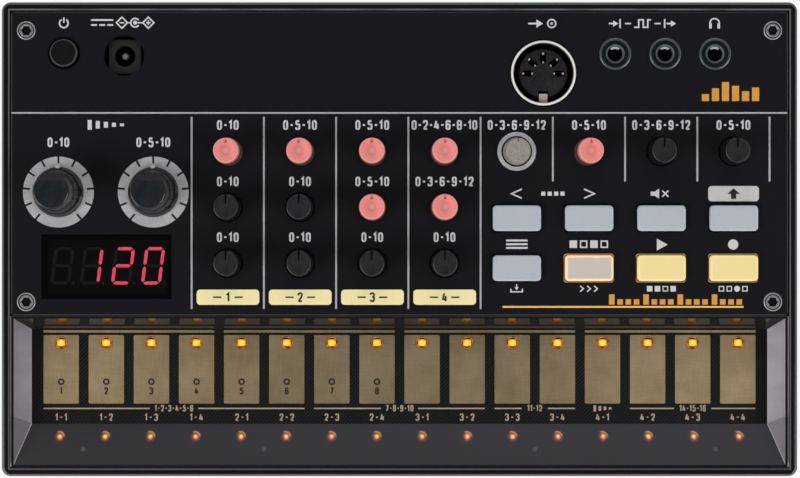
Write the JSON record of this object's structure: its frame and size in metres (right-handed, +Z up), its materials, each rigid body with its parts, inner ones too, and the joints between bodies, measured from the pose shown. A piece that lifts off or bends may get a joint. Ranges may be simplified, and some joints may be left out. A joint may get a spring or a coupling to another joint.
{
  "type": "drum machine",
  "caption": "Flat black desktop drum machine with rotary knobs, lit push buttons, a digit display, round sockets and a recessed strip of touch pads.",
  "frame": {"origin": "on the table under the middle of the housing", "axes": "+X to the right along the long side, +Y towards the edge with the sockets, +Z up"},
  "size_m": [0.193, 0.115, 0.046],
  "materials": {
    "case_gloss": "glossy black moulded plastic",
    "case_satin": "fine-grained black moulded plastic",
    "smoked_plastic": "polished smoked translucent plastic",
    "panel_paint": "matt black coated panel, pale printed scales",
    "screw_black": "black plated screw with worn edges",
    "board_black": "black solder mask over woven laminate",
    "pad_gold": "brushed dull gold contact plating",
    "lamp_amber": "lit amber lamp",
    "window_smoke": "smoked polished pane",
    "display_black": "black display body",
    "segment_red": "lit red segment",
    "board_green": "green circuit board",
    "screw_steel": "zinc plated screw",
    "pot_body": "moulded potentiometer body",
    "shaft_steel": "turned shaft",
    "dial_black": "glossy smoked black knob",
    "knob_red": "translucent red knob lit from below",
    "knob_grey": "translucent warm grey knob",
    "knob_black": "satin black knob",
    "key_grey": "pale blue-grey silicone key",
    "key_warm": "pale silicone key lit at its rim",
    "key_yellow": "silicone key lit warm yellow",
    "switch_dark": "moulded switch body",
    "power_black": "satin black button",
    "socket_black": "glossy black socket body",
    "contact_metal": "plated contact",
    "shell_nickel": "nickel plated shell",
    "speaker_black": "loudspeaker frame and cone",
    "cell_grey": "bare wrapped cell",
    "rubber_black": "black rubber foot"
  },
  "bodies": {
    "housing": {"lower_case": "case_satin", "upper_case": "case_gloss", "touch_bezel": "smoked_plastic", "faceplate": "panel_paint", "panel_screws": "screw_black", "touch_board": "board_black", "touch_pads": "pad_gold", "touch_lamps": "lamp_amber", "display_window": "window_smoke", "display_module": "display_black", "display_segments": "segment_red", "main_board": "board_green", "socket_board": "board_green", "board_screws": "screw_steel", "potentiometers": "pot_body", "button_switches": "switch_dark", "power_switch": "switch_dark", "dc_jack": "socket_black", "dc_pin": "contact_metal", "midi_shell": "shell_nickel", "midi_insulator": "socket_black", "midi_contacts": "contact_metal", "sync_in_jack": "socket_black", "sync_out_jack": "socket_black", "headphone_jack": "socket_black", "speaker": "speaker_black", "battery_contacts": "contact_metal", "battery_cells": "cell_grey", "feet": "rubber_black", "case_screws": "screw_steel"},
    "time_dial": {"time_knob": "dial_black", "time_shaft": "shaft_steel"},
    "depth_dial": {"depth_knob": "dial_black", "depth_shaft": "shaft_steel"},
    "kick_click_knob": {"kick_click_knob": "knob_red"},
    "snare_snappy_knob": {"snare_snappy_knob": "knob_red"},
    "tom_high_pitch_knob": {"tom_high_pitch_knob": "knob_red"},
    "hat_closed_decay_knob": {"hat_closed_decay_knob": "knob_red"},
    "kick_pitch_knob": {"kick_pitch_knob": "knob_black"},
    "snare_pitch_knob": {"snare_pitch_knob": "knob_black"},
    "tom_low_pitch_knob": {"tom_low_pitch_knob": "knob_red"},
    "hat_open_decay_knob": {"hat_open_decay_knob": "knob_red"},
    "kick_decay_knob": {"kick_decay_knob": "knob_black"},
    "snare_decay_knob": {"snare_decay_knob": "knob_black"},
    "tom_decay_knob": {"tom_decay_knob": "knob_black"},
    "hat_grain_knob": {"hat_grain_knob": "knob_black"},
    "sample_speed_knob": {"sample_speed_knob": "knob_grey"},
    "tempo_knob": {"tempo_knob": "knob_red"},
    "part_level_knob": {"part_level_knob": "knob_black"},
    "volume_knob": {"volume_knob": "knob_black"},
    "part_down_button": {"part_down_button": "key_grey"},
    "part_up_button": {"part_up_button": "key_grey"},
    "mute_button": {"mute_button": "key_grey"},
    "shift_button": {"shift_button": "key_grey"},
    "memory_button": {"memory_button": "key_grey"},
    "step_mode_button": {"step_mode_button": "key_warm"},
    "play_button": {"play_button": "key_yellow"},
    "record_button": {"record_button": "key_yellow"},
    "power_button": {"power_button": "power_black"},
    "battery_door": {"battery_door": "case_satin"}
  },
  "joints": [
    {"name": "time_turn", "type": "hinge", "parent": "housing", "child": "time_dial", "pos_m": [-0.0827, 0.01144, 0.033], "axis": [0, 0, 1], "range_deg": [-140, 140]},
    {"name": "depth_turn", "type": "hinge", "parent": "housing", "child": "depth_dial", "pos_m": [-0.0597, 0.01144, 0.033], "axis": [0, 0, 1], "range_deg": [-140, 140]},
    {"name": "kick_click_turn", "type": "hinge", "parent": "housing", "child": "kick_click_knob", "pos_m": [-0.04164, 0.0213, 0.033], "axis": [0, 0, 1], "range_deg": [-140, 140]},
    {"name": "snare_snappy_turn", "type": "hinge", "parent": "housing", "child": "snare_snappy_knob", "pos_m": [-0.02413, 0.0213, 0.033], "axis": [0, 0, 1], "range_deg": [-140, 140]},
    {"name": "tom_high_pitch_turn", "type": "hinge", "parent": "housing", "child": "tom_high_pitch_knob", "pos_m": [-0.00661, 0.0213, 0.033], "axis": [0, 0, 1], "range_deg": [-140, 140]},
    {"name": "hat_closed_decay_turn", "type": "hinge", "parent": "housing", "child": "hat_closed_decay_knob", "pos_m": [0.0109, 0.0213, 0.033], "axis": [0, 0, 1], "range_deg": [-140, 140]},
    {"name": "kick_pitch_turn", "type": "hinge", "parent": "housing", "child": "kick_pitch_knob", "pos_m": [-0.04164, 0.00775, 0.033], "axis": [0, 0, 1], "range_deg": [-140, 140]},
    {"name": "snare_pitch_turn", "type": "hinge", "parent": "housing", "child": "snare_pitch_knob", "pos_m": [-0.02413, 0.00775, 0.033], "axis": [0, 0, 1], "range_deg": [-140, 140]},
    {"name": "tom_low_pitch_turn", "type": "hinge", "parent": "housing", "child": "tom_low_pitch_knob", "pos_m": [-0.00661, 0.00775, 0.033], "axis": [0, 0, 1], "range_deg": [-140, 140]},
    {"name": "hat_open_decay_turn", "type": "hinge", "parent": "housing", "child": "hat_open_decay_knob", "pos_m": [0.0109, 0.00775, 0.033], "axis": [0, 0, 1], "range_deg": [-140, 140]},
    {"name": "kick_decay_turn", "type": "hinge", "parent": "housing", "child": "kick_decay_knob", "pos_m": [-0.04164, -0.0058, 0.033], "axis": [0, 0, 1], "range_deg": [-140, 140]},
    {"name": "snare_decay_turn", "type": "hinge", "parent": "housing", "child": "snare_decay_knob", "pos_m": [-0.02413, -0.0058, 0.033], "axis": [0, 0, 1], "range_deg": [-140, 140]},
    {"name": "tom_decay_turn", "type": "hinge", "parent": "housing", "child": "tom_decay_knob", "pos_m": [-0.00661, -0.0058, 0.033], "axis": [0, 0, 1], "range_deg": [-140, 140]},
    {"name": "hat_grain_turn", "type": "hinge", "parent": "housing", "child": "hat_grain_knob", "pos_m": [0.0109, -0.0058, 0.033], "axis": [0, 0, 1], "range_deg": [-140, 140]},
    {"name": "sample_speed_turn", "type": "hinge", "parent": "housing", "child": "sample_speed_knob", "pos_m": [0.02842, 0.0213, 0.033], "axis": [0, 0, 1], "range_deg": [-140, 140]},
    {"name": "tempo_turn", "type": "hinge", "parent": "housing", "child": "tempo_knob", "pos_m": [0.04593, 0.0213, 0.033], "axis": [0, 0, 1], "range_deg": [-140, 140]},
    {"name": "part_level_turn", "type": "hinge", "parent": "housing", "child": "part_level_knob", "pos_m": [0.06345, 0.0213, 0.033], "axis": [0, 0, 1], "range_deg": [-140, 140]},
    {"name": "volume_turn", "type": "hinge", "parent": "housing", "child": "volume_knob", "pos_m": [0.08096, 0.0213, 0.033], "axis": [0, 0, 1], "range_deg": [-140, 140]},
    {"name": "part_down_press", "type": "slide", "parent": "housing", "child": "part_down_button", "axis": [0, 0, -1], "range_m": [0, 0.0006], "stiffness_N_per_m": 900, "springref_m": -0.0006},
    {"name": "part_up_press", "type": "slide", "parent": "housing", "child": "part_up_button", "axis": [0, 0, -1], "range_m": [0, 0.0006], "stiffness_N_per_m": 900, "springref_m": -0.0006},
    {"name": "mute_press", "type": "slide", "parent": "housing", "child": "mute_button", "axis": [0, 0, -1], "range_m": [0, 0.0006], "stiffness_N_per_m": 900, "springref_m": -0.0006},
    {"name": "shift_press", "type": "slide", "parent": "housing", "child": "shift_button", "axis": [0, 0, -1], "range_m": [0, 0.0006], "stiffness_N_per_m": 900, "springref_m": -0.0006},
    {"name": "memory_press", "type": "slide", "parent": "housing", "child": "memory_button", "axis": [0, 0, -1], "range_m": [0, 0.0006], "stiffness_N_per_m": 900, "springref_m": -0.0006},
    {"name": "step_mode_press", "type": "slide", "parent": "housing", "child": "step_mode_button", "axis": [0, 0, -1], "range_m": [0, 0.0006], "stiffness_N_per_m": 900, "springref_m": -0.0006},
    {"name": "play_press", "type": "slide", "parent": "housing", "child": "play_button", "axis": [0, 0, -1], "range_m": [0, 0.0006], "stiffness_N_per_m": 900, "springref_m": -0.0006},
    {"name": "record_press", "type": "slide", "parent": "housing", "child": "record_button", "axis": [0, 0, -1], "range_m": [0, 0.0006], "stiffness_N_per_m": 900, "springref_m": -0.0006},
    {"name": "power_press", "type": "slide", "parent": "housing", "child": "power_button", "axis": [0, 0, -1], "range_m": [0, 0.0016], "stiffness_N_per_m": 500, "springref_m": -0.001},
    {"name": "battery_door_lift", "type": "slide", "parent": "housing", "child": "battery_door", "axis": [0, 0, -1], "range_m": [0, 0.03]}
  ]
}
